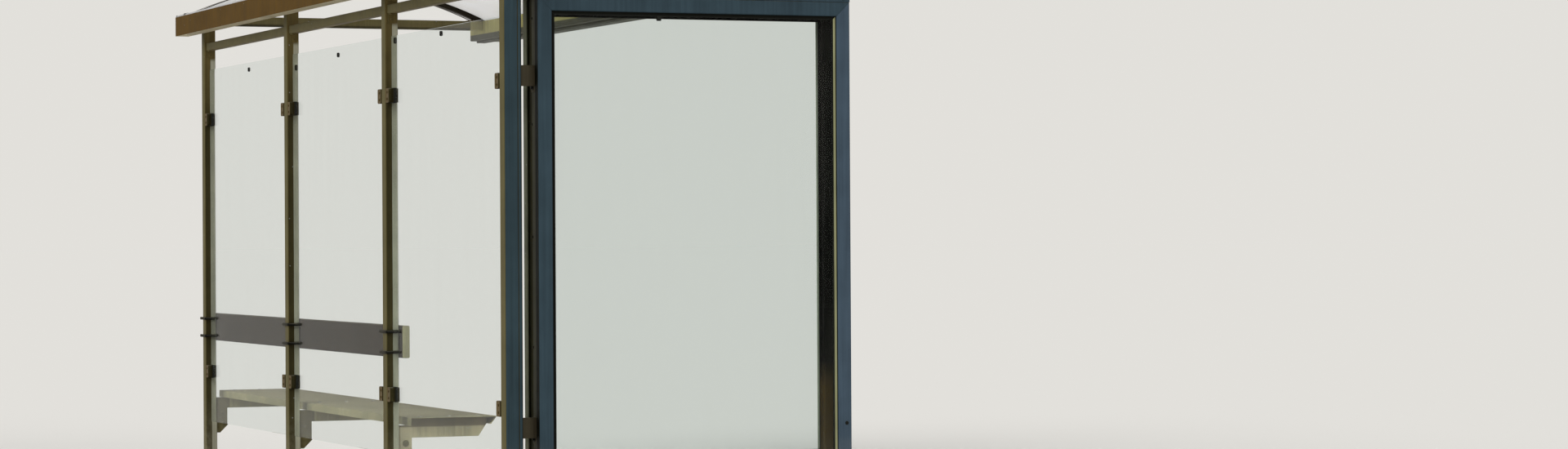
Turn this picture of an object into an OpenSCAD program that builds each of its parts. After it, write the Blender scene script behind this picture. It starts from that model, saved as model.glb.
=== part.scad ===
// Bus shelter: a rear wall of three glazed bays, a shallow arched roof on ribs over the
// posts, a glazed display case across the near end and a bench on two of the bays.
// X runs along the wall from the near end to the far end, Y points out of the rear wall
// and Z is up. The origin is on the ground under the middle of the roof.

/* [Posts] */
// Distance between the middles of neighbouring posts
bay_pitch = 1640; // [1300:10:1900]
// Width of the square post tubes
post_w = 60; // [56:1:80]
// Wall of the post tubes
post_wall = 3; // [2:0.5:5]
// Height of the post tops, where the roof rests
post_top = 2372; // [2340:1:2500]

/* [Base plates] */
// Side of the square base plates
plate_w = 160; // [150:1:200]
// Thickness of the base plates
plate_t = 10; // [6:1:16]
// Distance between the anchor bolts of a base plate
anchor_pitch = 116; // [110:1:120]
// Diameter of the anchor bolt holes
anchor_d = 14; // [10:0.5:18]

/* [Glazing of the rear wall] */
// Thickness of the glass panes
glass_t = 8; // [6:1:12]
// Height of the lower edge of the panes
glass_bottom = 292; // [240:1:400]
// Gap between the panes and the top rails
glass_top_gap = 100; // [40:1:200]
// Gap between a pane and the posts
glass_side_gap = 8; // [5:1:15]
// Length of a glass clamp along the wall
clamp_len = 50; // [40:1:70]
// Thickness of a glass clamp across the pane
clamp_t = 36; // [24:1:44]
// Height of a glass clamp
clamp_h = 62; // [40:1:80]
// Distance of the middle of a clamp from the lower or upper edge of its pane
clamp_edge = 263; // [150:1:330]
// Corner radius of a glass clamp
clamp_r = 4; // [1:0.5:8]
// Clearance between a pane and the jaws that hold it
jaw_clear = 0.3; // [0.2:0.1:0.5]

/* [Top rails] */
// Side of the square top rail tubes
rail_w = 40; // [30:1:50]
// Wall of the top rail tubes
rail_wall = 2.5; // [2:0.5:4]
// Distance from the post tops down to the top rails
rail_drop = 94; // [55:1:107]
// Leg of the small angles under the rail ends
angle_leg = 42; // [30:1:55]
// Width of the small angles
angle_w = 30; // [20:1:40]
// Thickness of the small angles
angle_t = 4; // [3:0.5:6]

/* [Roof] */
// Overhang of the roof past the end posts
roof_end_over = 160; // [120:1:400]
// Overhang of the roof behind the posts
roof_rear_over = 100; // [60:1:160]
// Gap between the case and the front beam
beam_gap = 23; // [10:1:120]
// Width of the hollow beam along the front edge of the roof
beam_w = 200; // [100:1:260]
// Height of the rear fascia and of the front beam
fascia_h = 100; // [90:1:140]
// Sheet thickness of the rear fascia and of the front beam
fascia_t = 2; // [1.5:0.5:4]
// Gap between the posts and the folded lips of the rear fascia
fascia_gap = 30; // [15:1:45]
// Width of the level end rails and of the stubs on the post tops
rail_tube_w = 50; // [46:1:60]
// Height of the level end rails and of the stubs on the post tops
rail_tube_h = 50; // [40:1:60]
// Wall of the end rails and stubs
rail_tube_wall = 3; // [2:0.5:4]

/* [Roof arch] */
// Height of the arch over the rear fascia and the front beam
arch_h = 180; // [120:1:260]
// How far the ends of the arch rest on the fascia and on the beam
arch_seat = 20; // [10:1:30]
// Width of the curved rafter tubes
rafter_w = 36; // [30:1:38]
// Height of the curved rafter tubes
rafter_h = 25; // [20:1:35]
// Wall of the curved rafter tubes
rafter_wall = 2; // [1.5:0.5:3]
// Thickness of the roof sheet
sheet_t = 8; // [4:1:12]
// Inset of the roof sheet from the outer edges of the roof
sheet_inset = 3; // [1:0.5:10]
// Thickness of the cover strips on the sheet, over the rafters
strip_t = 3; // [2:0.5:5]

/* [Display case] */
// Gap between the first post and the case
case_gap = 85; // [60:1:120]
// Width of the case
case_w = 1372; // [1300:1:1400]
// Height of the lower edge of the case
case_bottom = 275; // [200:1:400]
// Height of the header between the case and the post tops
header_h = 155; // [112:1:222]
// Depth of the case
case_depth = 190; // [170:1:240]
// Face width of the frame members
member_w = 60; // [50:1:75]
// Depth of the front and rear frame members
member_d = 45; // [40:1:55]
// Wall of the frame members
member_wall = 3; // [2:0.5:4]
// Width of the lips that hold the panes of the case
lip_w = 12; // [8:1:20]
// Thickness of the lips
lip_t = 3; // [2:0.5:4]
// Depth of the outer lip behind the face of its frame
lip_set = 12; // [8:1:14]
// Thickness of the panes of the case
case_glass_t = 6; // [4:1:8]
// Clearance of the panes in their frames
case_glass_clear = 0.3; // [0.2:0.1:0.5]
// Inset of the body sheet from the outline of the frames
body_inset = 10; // [6:1:20]
// Thickness of the body sheet
body_t = 3; // [2:0.5:4]
// Width of the front flange of the body sheet
body_flange = 25; // [15:1:35]
// Open joint between frame members, the body and the header
joint_gap = 0.3; // [0.2:0.1:0.6]
// Thickness of the header sheet
header_t = 2; // [1.5:0.5:4]
// Width of the two legs of the case
leg_w = 60; // [50:1:70]
// Distance of a leg from the side of the case
leg_inset = 20; // [16:1:80]

/* [Case brackets] */
// Thickness of the bracket plates
bracket_t = 6; // [4:1:8]
// Length of the bracket plates on the post and on the case
bracket_leg = 44; // [30:1:48]
// Height of the plate on the post
bracket_post_h = 84; // [60:1:100]
// Height of the plate on the case
bracket_case_h = 108; // [84:1:130]
// Distance from the lower edge of the case up to the lower bracket
bracket_low_edge = 135; // [75:1:325]
// Distance from the upper edge of the case down to the upper bracket
bracket_high_edge = 279; // [209:1:409]

/* [Bench] */
// Height of the top of the seat
seat_top = 450; // [420:1:480]
// Gap between the wall face of the posts and the seat
seat_gap = 40; // [30:1:80]
// Depth of the seat
seat_depth = 400; // [340:1:450]
// Depth of the folded edges of the seat
seat_edge = 35; // [25:1:45]
// How far the front edge of the seat leans back
seat_lean = 27; // [10:1:40]
// Sheet thickness of the seat
seat_t = 3; // [2:0.5:5]
// Depth of the seat arms below the top of the seat
arm_h = 90; // [60:1:120]
// How far the front end of a seat arm leans back
arm_lean = 37; // [10:1:100]
// Width of the seat arms
arm_w = 40; // [30:1:56]
// Depth of the foot of a seat arm on its post
arm_foot = 60; // [45:1:80]
// How far the foot of a seat arm reaches below the arm
arm_foot_drop = 130; // [80:1:180]
// Bevel at the lower end of the foot
arm_foot_bevel = 42; // [20:1:45]
// Distance from the seat up to the backrest
back_rise = 265; // [230:1:310]
// Height of the backrest board
back_h = 143; // [110:1:180]
// Thickness of the backrest board
back_t = 32; // [20:1:40]
// Edge radius of the backrest board
back_r = 6; // [3:1:9]
// How far the seat and the backrest reach past the middle of their end posts
bench_over = 70; // [56:1:90]
// Height of a strap round a post
strap_h = 14; // [10:1:20]
// Thickness of a strap
strap_t = 4; // [3:0.5:6]
// Length of the ears of a strap on the backrest
strap_ear = 22; // [15:1:30]
// Distance of the straps from the edges of the backrest
strap_edge = 26; // [16:1:40]
// Clearance between a strap and its post
strap_clear = 0.3; // [0.2:0.1:0.5]

/* [Hidden] */
$fn = 48;

// Outer radius of a folded or drawn corner, in walls of its tube or sheet
corner_walls = 2;

// Number of bays and the first and last post that carry the bench
bays = 3;
bench_first = 1;
bench_last = 3;

// Lengths and places that follow from the sizes above
wall_len = bays * bay_pitch + post_w;
wall_x = -wall_len / 2;
roof_depth = roof_rear_over + post_w + case_gap + case_w + beam_gap + beam_w;
rear_y = roof_depth / 2 - roof_rear_over;
inner_y = rear_y - post_w;
pane_y = rear_y - post_w / 2;
roof_len = wall_len + 2 * roof_end_over;
rail_tube_top = post_top + rail_tube_h;
fascia_top = rail_tube_top + fascia_t;
fascia_lip = roof_rear_over - fascia_gap;
rail_bottom = post_top - rail_drop - rail_w;
glass_top = rail_bottom - glass_top_gap;
case_top = post_top - header_h;
case_y = inner_y - case_gap;
case_mid_y = case_y - case_w / 2;
case_mid_z = (case_bottom + case_top) / 2;
case_h = case_top - case_bottom;
body_z = case_bottom + body_inset;
leg_x = wall_x + case_depth / 2;
saw = 4 * member_w;

// Inner edges of the beam and of the fascia lips, and the arch between them: its middle,
// its half span on the seats, the radius of the underside of the sheet and its centre
beam_edge = beam_w - roof_depth / 2;
lip_edge = roof_depth / 2 - fascia_lip;
arch_mid = (lip_edge + beam_edge) / 2;
arch_half = (lip_edge - beam_edge) / 2 + arch_seat;
arch_r = (arch_half ^ 2 + arch_h ^ 2) / (2 * arch_h);
arch_z = fascia_top + arch_h - arch_r;
arch_steps = 720;

// Middle of post number n, counted from the near end
function post_x(n) = wall_x + post_w / 2 + n * bay_pitch;

// Rectangle with rounded corners, from the origin to w and d
module round_rect(w, d, r) {
    translate([r, 0]) square([w - 2 * r, d]);
    translate([0, r]) square([w, d - 2 * r]);
    for (x = [r, w - r], y = [r, d - r]) translate([x, y]) circle(r);
}

// Section of a drawn tube with its corner radii, from the origin to w and d
module tube_section(w, d, wall) {
    difference() {
        round_rect(w, d, corner_walls * wall);
        translate([wall, wall])
            round_rect(w - 2 * wall, d - 2 * wall, (corner_walls - 1) * wall);
    }
}

// Square or flat tube standing on the XY plane, centred on the Z axis
module tube(w, d, h, wall) {
    linear_extrude(h) translate([-w / 2, -d / 2]) tube_section(w, d, wall);
}

// Base plate with four anchor holes, its underside on the ground
module base_plate() {
    difference() {
        linear_extrude(plate_t) square(plate_w, center = true);
        for (x = [-1, 1], y = [-1, 1])
            translate([x * anchor_pitch / 2, y * anchor_pitch / 2, -1])
                cylinder(d = anchor_d, h = plate_t + 2);
    }
}

// Post welded on its base plate
module footed_tube(w, top, wall) {
    base_plate();
    translate([0, 0, plate_t]) tube(w, w, top - plate_t, wall);
}

module rear_post(n) {
    color("darkolivegreen")
        translate([post_x(n), pane_y, 0]) footed_tube(post_w, post_top, post_wall);
}

module top_rail(n) {
    color("darkolivegreen")
        translate([post_x(n) + post_w / 2, pane_y, rail_bottom + rail_w / 2])
            rotate([0, 90, 0]) tube(rail_w, rail_w, bay_pitch - post_w, rail_wall);
}

// Angle under one rail end, its corner where the post meets the rail
module rail_angle() {
    rotate([90, 0, 0]) translate([0, 0, -angle_w / 2]) linear_extrude(angle_w)
        polygon([
            [0, 0], [angle_leg, 0], [angle_leg, -angle_t], [angle_t, -angle_t],
            [angle_t, -angle_leg], [0, -angle_leg]
        ]);
}

module rail_brackets() {
    color("darkolivegreen") for (n = [0 : bays - 1]) {
        translate([post_x(n) + post_w / 2, pane_y, rail_bottom]) rail_angle();
        translate([post_x(n + 1) - post_w / 2, pane_y, rail_bottom])
            mirror([1, 0, 0]) rail_angle();
    }
}

module glass_pane(n) {
    color("lightcyan", 0.4)
        translate([post_x(n) + post_w / 2 + glass_side_gap, pane_y - glass_t / 2, glass_bottom])
            cube([bay_pitch - post_w - 2 * glass_side_gap, glass_t, glass_top - glass_bottom]);
}

// Clamp on the +X face of a post: a block with a slot that holds the edge of a pane
module clamp_block() {
    slot = glass_t + 2 * jaw_clear;
    translate([0, 0, -clamp_h / 2]) linear_extrude(clamp_h) difference() {
        translate([0, -clamp_t / 2]) {
            round_rect(clamp_len, clamp_t, clamp_r);
            square([clamp_len / 2, clamp_t]);
        }
        translate([glass_side_gap - jaw_clear, -slot / 2]) square([clamp_len, slot]);
    }
}

module glass_clamps(n) {
    color("saddlebrown") for (z = [glass_bottom + clamp_edge, glass_top - clamp_edge]) {
        if (n < bays)
            translate([post_x(n) + post_w / 2, pane_y, z]) clamp_block();
        if (n > 0)
            translate([post_x(n) - post_w / 2, pane_y, z]) mirror([1, 0, 0]) clamp_block();
    }
}

// Level tube from the rear fascia towards the front, on a post top, centred on x
module level_tube(x, len) {
    translate([x, roof_depth / 2 - fascia_t, post_top + rail_tube_h / 2]) rotate([90, 0, 0])
        tube(rail_tube_w, rail_tube_h, len, rail_tube_wall);
}

// Level rail over an end post, from the rear fascia to the front beam
module end_rail(n) {
    color("darkolivegreen")
        level_tube(post_x(n), roof_depth - fascia_t - beam_w);
}

// Ring between two radii round the middle of the roof's arch, drawn across the roof
module arch_ring(inner, outer) {
    translate([arch_mid, arch_z]) difference() {
        circle(outer, $fn = arch_steps);
        circle(inner, $fn = arch_steps);
    }
}

// Solid across the roof from its section in Y and Z, centred on x
module across(x, w) {
    translate([x - w / 2, 0, 0]) rotate([90, 0, 90]) linear_extrude(w) children();
}

// Section of a curved layer, lift above the underside of the sheet and t thick, with a
// level edge along the fascia and along the beam
module arched_layer(lift, t) {
    level = fascia_top + lift;
    half = sqrt(arch_h * (2 * arch_r + 2 * lift - arch_h));
    edge = roof_depth / 2 - sheet_inset;
    intersection() {
        arch_ring(arch_r + lift, arch_r + lift + t);
        translate([-roof_depth / 2, level]) square([roof_depth, 2 * arch_h]);
    }
    translate([arch_mid + half, level]) square([edge - arch_mid - half, t]);
    translate([-edge, level]) square([edge + arch_mid - half, t]);
}

// Curved tube under the sheet. Its feet are cut level on the fascia and on the beam, and
// between these they reach down to the tops of the end rails and of the stubs.
module rib(x) {
    difference() {
        across(x, rafter_w) intersection() {
            arch_ring(arch_r - rafter_h, arch_r);
            union() {
                translate([-roof_depth / 2, fascia_top]) square([roof_depth, 2 * arch_h]);
                translate([beam_edge, rail_tube_top])
                    square([lip_edge - beam_edge, 2 * arch_h]);
            }
        }
        across(x, rafter_w - 2 * rafter_wall)
            arch_ring(arch_r - rafter_h + rafter_wall, arch_r - rafter_wall);
    }
}

// Curved rafter over post n with its cover strip on the sheet. Over the middle posts it
// is welded on a stub between the post top and the fascia, at the ends on the end rail.
module rafter(n) {
    color("darkolivegreen") {
        rib(post_x(n));
        if (n > 0 && n < bays)
            level_tube(post_x(n), roof_rear_over + post_w - fascia_t);
        across(post_x(n), rafter_w) arched_layer(sheet_t, strip_t);
    }
}

// Folded channel along the rear edge, its web on the outside and its lips inwards
module rear_fascia() {
    color("sienna") translate([-roof_len / 2, 0, fascia_top - fascia_h])
        rotate([90, 0, 90]) linear_extrude(roof_len) difference() {
            translate([roof_depth / 2 - fascia_lip, 0]) square([fascia_lip, fascia_h]);
            translate([roof_depth / 2 - fascia_lip - 1, fascia_t])
                square([fascia_lip + 1 - fascia_t, fascia_h - 2 * fascia_t]);
        }
}

// Hollow box along the front edge, which carries the front ends of the arch
module front_beam() {
    color("sienna") translate([-roof_len / 2, -roof_depth / 2, fascia_top - fascia_h])
        rotate([90, 0, 90]) linear_extrude(roof_len) tube_section(beam_w, fascia_h, fascia_t);
}

module roof_sheet() {
    color("whitesmoke", 0.6) across(0, roof_len - 2 * sheet_inset) arched_layer(0, sheet_t);
}

// Bar of a mitred frame along Z: children() is its section, drawn from the outer edge
// of the frame inwards along X and from the front to the rear along Y
module mitred_bar(len) {
    difference() {
        translate([0, 0, -len / 2]) linear_extrude(len) children();
        for (end = [0, 1])
            mirror([0, 0, end])
                translate([0, 0, len / 2 - joint_gap]) rotate([0, 45, 0])
                    translate([-saw, -saw, 0]) cube(3 * saw);
    }
}

// Places one bar of the case: side 0 is the left one, 1 the top, 2 the right, 3 the bottom
module case_side(side) {
    across = side % 2 == 0 ? case_w : case_h;
    along = side % 2 == 0 ? case_h : case_w;
    translate([wall_x, case_mid_y, case_mid_z]) rotate([90 * side, 0, 0])
        translate([0, across / 2, 0]) rotate([0, 0, -90]) mitred_bar(along) children();
}

// Section of a frame member with the two lips that hold its pane
module frame_section() {
    tube_section(member_w, member_d, member_wall);
    pane_slot = case_glass_t + 2 * case_glass_clear;
    for (y = [lip_set, lip_set + lip_t + pane_slot])
        translate([member_w - member_wall / 2, y]) square([lip_w + member_wall / 2, lip_t]);
}

module door_bar(side) {
    color("slategray") case_side(side) frame_section();
}

// Section of the body: the rear frame member, the body sheet and its front flange
module body_section() {
    front = member_d + joint_gap;
    translate([0, case_depth]) mirror([0, 1]) frame_section();
    translate([body_inset, front])
        square([body_t, case_depth - member_d - front + member_wall / 2]);
    translate([body_inset, front]) square([body_flange, body_t]);
}

module body_bar(side) {
    color("dimgray") case_side(side) body_section();
}

// Pane of the case at depth x behind the front of the case
module case_pane(x) {
    edge = member_w + 2;
    color("lightcyan", 0.4)
        translate([wall_x + x, case_mid_y - case_w / 2 + edge, case_bottom + edge])
            cube([case_glass_t, case_w - 2 * edge, case_h - 2 * edge]);
}

// Header: a pan with its open side down, between the case and the first rafter
module case_header() {
    bottom = case_top + joint_gap;
    h = post_top - bottom;
    color("slategray") translate([wall_x, case_mid_y - case_w / 2, bottom]) difference() {
        cube([case_depth, case_w, h]);
        translate([header_t, header_t, -1])
            cube([case_depth - 2 * header_t, case_w - 2 * header_t, h + 1 - header_t]);
    }
}

// Leg of the case: side 1 is the left one at the post, -1 the right one at the front
module case_leg(side) {
    y = case_mid_y + side * (case_w / 2 - leg_inset - leg_w / 2);
    color("dimgray") translate([leg_x, y, 0]) footed_tube(leg_w, body_z, post_wall);
}

// Folded bracket from the inner face of the first post to the body of the case
module case_bracket(z) {
    web_x = wall_x + post_w - bracket_t;
    reach = case_gap + body_inset;
    color("darkolivegreen") {
        translate([wall_x + post_w - bracket_leg, inner_y - bracket_t,
                   z + bracket_case_h - bracket_post_h])
            cube([bracket_leg, bracket_t, bracket_post_h]);
        translate([web_x, inner_y - reach, z + bracket_case_h - bracket_post_h])
            cube([bracket_t, reach, bracket_post_h]);
        translate([web_x, inner_y - reach, z])
            cube([bracket_leg, bracket_t, bracket_case_h]);
    }
}

// Start and length of the bench along X and the lower edge of its backrest
bench_x = post_x(bench_first) - bench_over;
bench_len = post_x(bench_last) + bench_over - bench_x;
back_bottom = seat_top + back_rise;

// Seat: one sheet with its rear edge folded down and its front edge folded under
module seat_panel() {
    back = inner_y - seat_gap;
    front = back - seat_depth;
    low = seat_top - seat_edge;
    color("tan") translate([bench_x, 0, 0]) rotate([90, 0, 90]) linear_extrude(bench_len)
        polygon([
            [back, low], [back, seat_top], [front, seat_top], [front + seat_lean, low],
            [front + seat_lean + seat_t, low], [front + 1.5 * seat_t, seat_top - seat_t],
            [back - seat_t, seat_top - seat_t], [back - seat_t, low]
        ]);
}

// Arm under the seat: it rises inside the folded edges and its foot is bolted to the post
module seat_arm(n) {
    back = inner_y - seat_gap - seat_t - joint_gap;
    front = inner_y - seat_gap - seat_depth + seat_lean + 2 * seat_t;
    low = seat_top - seat_edge - joint_gap;
    under = seat_top - seat_t;
    arm_low = seat_top - arm_h;
    foot_low = arm_low - arm_foot_drop;
    color("tan") translate([post_x(n) - arm_w / 2, 0, 0])
        rotate([90, 0, 90]) linear_extrude(arm_w) polygon([
            [inner_y, foot_low], [inner_y, low], [back, low], [back, under],
            [front, under], [front, low], [front + arm_lean, arm_low],
            [inner_y - arm_foot, arm_low], [inner_y - arm_foot, foot_low + arm_foot_bevel],
            [inner_y - arm_foot + arm_foot_bevel, foot_low]
        ]);
}

// Backrest: a board with rounded long edges, just clear of the straps on the posts
module backrest() {
    color("gray") translate([bench_x, inner_y - strap_t - back_t, back_bottom])
        rotate([90, 0, 90]) linear_extrude(bench_len) union() {
            translate([back_r, 0]) square([back_t - 2 * back_r, back_h]);
            translate([0, back_r]) square([back_t, back_h - 2 * back_r]);
            for (y = [back_r, back_t - back_r], z = [back_r, back_h - back_r])
                translate([y, z]) circle(back_r);
        }
}

// Strap bent round a post, its ears flat on the back of the backrest
module strap() {
    inside = post_w / 2 + strap_clear;
    outside = inside + strap_t;
    depth = post_w + strap_clear + strap_t;
    bend = corner_walls * post_wall;
    linear_extrude(strap_h) {
        difference() {
            translate([-outside, -post_w / 2 - strap_t]) {
                round_rect(2 * outside, depth + strap_t, bend + strap_t);
                square([2 * outside, depth / 2]);
            }
            translate([-inside, -post_w / 2 - strap_t - 1]) {
                round_rect(2 * inside, depth + 1, bend);
                square([2 * inside, depth / 2]);
            }
        }
        for (side = [0, 1])
            mirror([side, 0]) translate([inside, -post_w / 2 - strap_t])
                square([strap_ear, strap_t]);
    }
}

module backrest_straps() {
    color("saddlebrown") for (n = [bench_first : bench_last], top = [0, 1])
        translate([post_x(n), pane_y, back_bottom - strap_h / 2
                   + (top == 1 ? back_h - strap_edge : strap_edge)]) strap();
}

rear_post(0);  // rear_post_1
rear_post(1);  // rear_post_2
rear_post(2);  // rear_post_3
rear_post(3);  // rear_post_4
top_rail(0);  // top_rail_1
top_rail(1);  // top_rail_2
top_rail(2);  // top_rail_3
rail_brackets();
glass_pane(0);  // glass_pane_1
glass_pane(1);  // glass_pane_2
glass_pane(2);  // glass_pane_3
glass_clamps(0);  // glass_clamps_1
glass_clamps(1);  // glass_clamps_2
glass_clamps(2);  // glass_clamps_3
glass_clamps(3);  // glass_clamps_4
rafter(0);  // rafter_1
rafter(1);  // rafter_2
rafter(2);  // rafter_3
rafter(3);  // rafter_4
end_rail(0);  // near_end_rail
end_rail(bays);  // far_end_rail
rear_fascia();
front_beam();
roof_sheet();
door_bar(0);  // case_door_left_stile
door_bar(2);  // case_door_right_stile
door_bar(1);  // case_door_top_rail
door_bar(3);  // case_door_bottom_rail
body_bar(0);  // case_body_left
body_bar(2);  // case_body_right
body_bar(1);  // case_body_top
body_bar(3);  // case_body_bottom
case_pane(lip_set + lip_t + case_glass_clear);  // case_door_glass
case_pane(case_depth - lip_set - lip_t - case_glass_clear - case_glass_t);  // case_rear_glass
case_header();
case_leg(1);  // case_leg_left
case_leg(-1);  // case_leg_right
case_bracket(case_top - bracket_high_edge - bracket_case_h);  // case_bracket_upper
case_bracket(case_bottom + bracket_low_edge);  // case_bracket_lower
seat_panel();
seat_arm(1);  // seat_arm_1
seat_arm(2);  // seat_arm_2
seat_arm(3);  // seat_arm_3
backrest();
backrest_straps();
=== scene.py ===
import math

import bmesh
import bpy
from mathutils import Matrix, Vector


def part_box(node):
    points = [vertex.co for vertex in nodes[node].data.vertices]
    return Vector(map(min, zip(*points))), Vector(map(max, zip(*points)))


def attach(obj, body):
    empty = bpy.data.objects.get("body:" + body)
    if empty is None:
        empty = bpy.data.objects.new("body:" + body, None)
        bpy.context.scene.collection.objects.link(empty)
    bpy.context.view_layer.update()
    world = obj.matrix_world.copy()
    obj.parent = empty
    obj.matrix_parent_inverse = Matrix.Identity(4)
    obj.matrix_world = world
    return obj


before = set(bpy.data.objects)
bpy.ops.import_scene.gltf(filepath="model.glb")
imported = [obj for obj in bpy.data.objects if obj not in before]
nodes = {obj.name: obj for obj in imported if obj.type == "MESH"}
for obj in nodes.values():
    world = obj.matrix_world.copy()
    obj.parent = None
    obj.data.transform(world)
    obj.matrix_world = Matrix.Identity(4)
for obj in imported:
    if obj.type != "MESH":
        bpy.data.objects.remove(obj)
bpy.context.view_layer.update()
bpy.ops.object.select_all(action="DESELECT")

# The view. The photographer stood on the pavement behind the near end of the shelter,
# with the lens 1.23 m above the ground, and looked along the rear wall. The camera's
# place is given from the outer rear edge of the first post.
POST_W = 0.060
plate_low, plate_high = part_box("rear_post_1")
plate_mid = (plate_low + plate_high) / 2
near_x = plate_mid.x - POST_W / 2
rear_y = plate_mid.y + POST_W / 2
EYE = Vector((near_x - 13.766, rear_y + 4.630, 1.231))
LOOK = Vector((0.9205, -0.3908, 0.0)).normalized()
PITCH_UP = math.radians(0.233)
ROLL = math.radians(0.32)
FOCAL_PX, PHOTO_W, SENSOR_MM = 4431, 1920, 36.0

camera_data = bpy.data.cameras.new("photo_camera")
camera_data.sensor_fit = "HORIZONTAL"
camera_data.sensor_width = SENSOR_MM
camera_data.lens = SENSOR_MM * FOCAL_PX / PHOTO_W
camera_data.clip_end = 1000
camera = bpy.data.objects.new("photo_camera", camera_data)
bpy.context.scene.collection.objects.link(camera)
bpy.context.scene.camera = camera
right = LOOK.cross(Vector((0, 0, 1))).normalized()
forward = Matrix.Rotation(PITCH_UP, 3, right) @ LOOK
up = right.cross(forward)
right, up = (right * math.cos(ROLL) - up * math.sin(ROLL),
             up * math.cos(ROLL) + right * math.sin(ROLL))
camera.matrix_world = Matrix.Translation(EYE) @ Matrix((right, up, -forward)).transposed().to_4x4()


# The studio: a plain pale floor that runs on to the horizon, an even sky and two broad
# soft lamps, the stronger one from behind the wall. What the camera, metal and glass see
# past the floor is as bright as the floor, so that no horizon shows.
def hex_colour(text):
    """sRGB hex to the linear colour that a shader socket takes."""
    values = [int(text[i:i + 2], 16) / 255 for i in (1, 3, 5)]
    return tuple(v / 12.92 if v <= 0.04045 else ((v + 0.055) / 1.055) ** 2.4
                 for v in values) + (1.0,)


def add_node(tree, kind, inputs=None, **settings):
    """Adds a node with its settings; an input is a value or another node's output."""
    node = tree.nodes.new(kind)
    for name, value in settings.items():
        setattr(node, name, value)
    for name, value in (inputs or {}).items():
        if isinstance(value, bpy.types.NodeSocket):
            tree.links.new(value, node.inputs[name])
        else:
            node.inputs[name].default_value = value
    return node


def maths(tree, operation, *values):
    """Gives the sum, product or the like of numbers and other nodes' outputs."""
    return add_node(tree, "ShaderNodeMath", dict(enumerate(values)), operation=operation).outputs[0]


def new_material(name):
    """A material with an empty tree, its output and its Principled shader."""
    material = bpy.data.materials.new(name)
    material.use_nodes = True
    tree = material.node_tree
    tree.nodes.clear()
    output = add_node(tree, "ShaderNodeOutputMaterial")
    shader = add_node(tree, "ShaderNodeBsdfPrincipled")
    tree.links.new(shader.outputs["BSDF"], output.inputs["Surface"])
    return material, tree, shader, output


FLOOR_COLOUR = hex_colour("#E4E2DD")
FLOOR_SIZE = 1200
SKY_LEVEL = 0.62
LAMPS = (("soft_key", (-0.38, 0.80, 0.56), 1.55), ("soft_fill", (-0.85, -0.25, 0.40), 0.75))
LAMP_SPREAD = math.radians(28)

floor_light = SKY_LEVEL
for name, towards, strength in LAMPS:
    lamp = bpy.data.lights.new(name, "SUN")
    lamp.energy = strength
    lamp.angle = LAMP_SPREAD
    lamp_object = bpy.data.objects.new(name, lamp)
    bpy.context.scene.collection.objects.link(lamp_object)
    towards = Vector(towards).normalized()
    lamp_object.rotation_euler = towards.to_track_quat("Z", "Y").to_euler()
    floor_light += strength * towards.z / math.pi

bpy.ops.mesh.primitive_plane_add(size=FLOOR_SIZE, location=(0, 0, 0))
floor = bpy.context.object
floor.name = "studio_floor"
material, tree, shader, _ = new_material("matt_studio_floor")
shader.inputs["Base Color"].default_value = FLOOR_COLOUR
shader.inputs["Roughness"].default_value = 1.0
shader.inputs["Specular IOR Level"].default_value = 0.0
floor.data.materials.append(material)

world = bpy.data.worlds.new("studio_sky")
bpy.context.scene.world = world
world.use_nodes = True
tree = world.node_tree
tree.nodes.clear()
path = add_node(tree, "ShaderNodeLightPath").outputs
seen = maths(tree, "MAXIMUM", path["Is Camera Ray"], path["Is Glossy Ray"])
seen = maths(tree, "MAXIMUM", seen, path["Is Transmission Ray"])
sky_light = add_node(tree, "ShaderNodeBackground", {"Color": (1, 1, 1, 1), "Strength": SKY_LEVEL})
backdrop = add_node(tree, "ShaderNodeBackground", {"Color": FLOOR_COLOUR, "Strength": floor_light})
mix = add_node(tree, "ShaderNodeMixShader", {0: seen, 1: sky_light.outputs[0], 2: backdrop.outputs[0]})
tree.links.new(mix.outputs[0], add_node(tree, "ShaderNodeOutputWorld").inputs["Surface"])
bpy.context.scene.view_settings.view_transform = "Standard"


# The posts: four square steel tubes welded on base plates, zinc coated and then powder
# coated. Each plate is held down by four threaded anchors with washers and nuts, and the
# level tubes of the roof are welded on the post tops.
PLATE_T = 0.010
ANCHOR_REACH = 0.116 / 2
FOOT_WELD, TOP_WELD = 0.006, 0.005
POST_TOP = 2.372
POST_X = (-2.46, -0.82, 0.82, 2.46)
POST_Y = 0.79
# How far an added piece is let into what carries it
LET_IN = 0.0005


def ramp(tree, value, start, full, low=0.0, high=1.0):
    """Gives what goes from low to high while a value goes from start to full."""
    return add_node(tree, "ShaderNodeMapRange", {0: value, 1: start, 2: full, 3: low, 4: high}).outputs[0]


def noise(tree, place, scale, detail, **more):
    """Gives soft spots, of which scale is about how many fill a metre."""
    inputs = {0: place, "Scale": scale, "Detail": detail, **more}
    return add_node(tree, "ShaderNodeTexNoise", inputs).outputs[0]


def blend(tree, share, *colours):
    """Gives what goes from the first to the second of two colours with a share. Each is
    hex, linear or another node's output."""
    first, second = (hex_colour(one) if isinstance(one, str) else one for one in colours)
    return add_node(tree, "ShaderNodeMix", {0: share, 6: first, 7: second}, data_type="RGBA").outputs[2]


def dress(tree, shader, colour, rough, relief=None, height=None):
    """Gives a shader its colour and its roughness. Relief is the strength and the depth of
    the bumps that a height makes."""
    tree.links.new(colour, shader.inputs["Base Color"])
    tree.links.new(rough, shader.inputs["Roughness"])
    if relief:
        bump = add_node(tree, "ShaderNodeBump", {"Strength": relief[0], "Distance": relief[1],
                                                 "Height": height})
        tree.links.new(bump.outputs[0], shader.inputs["Normal"])


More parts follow.
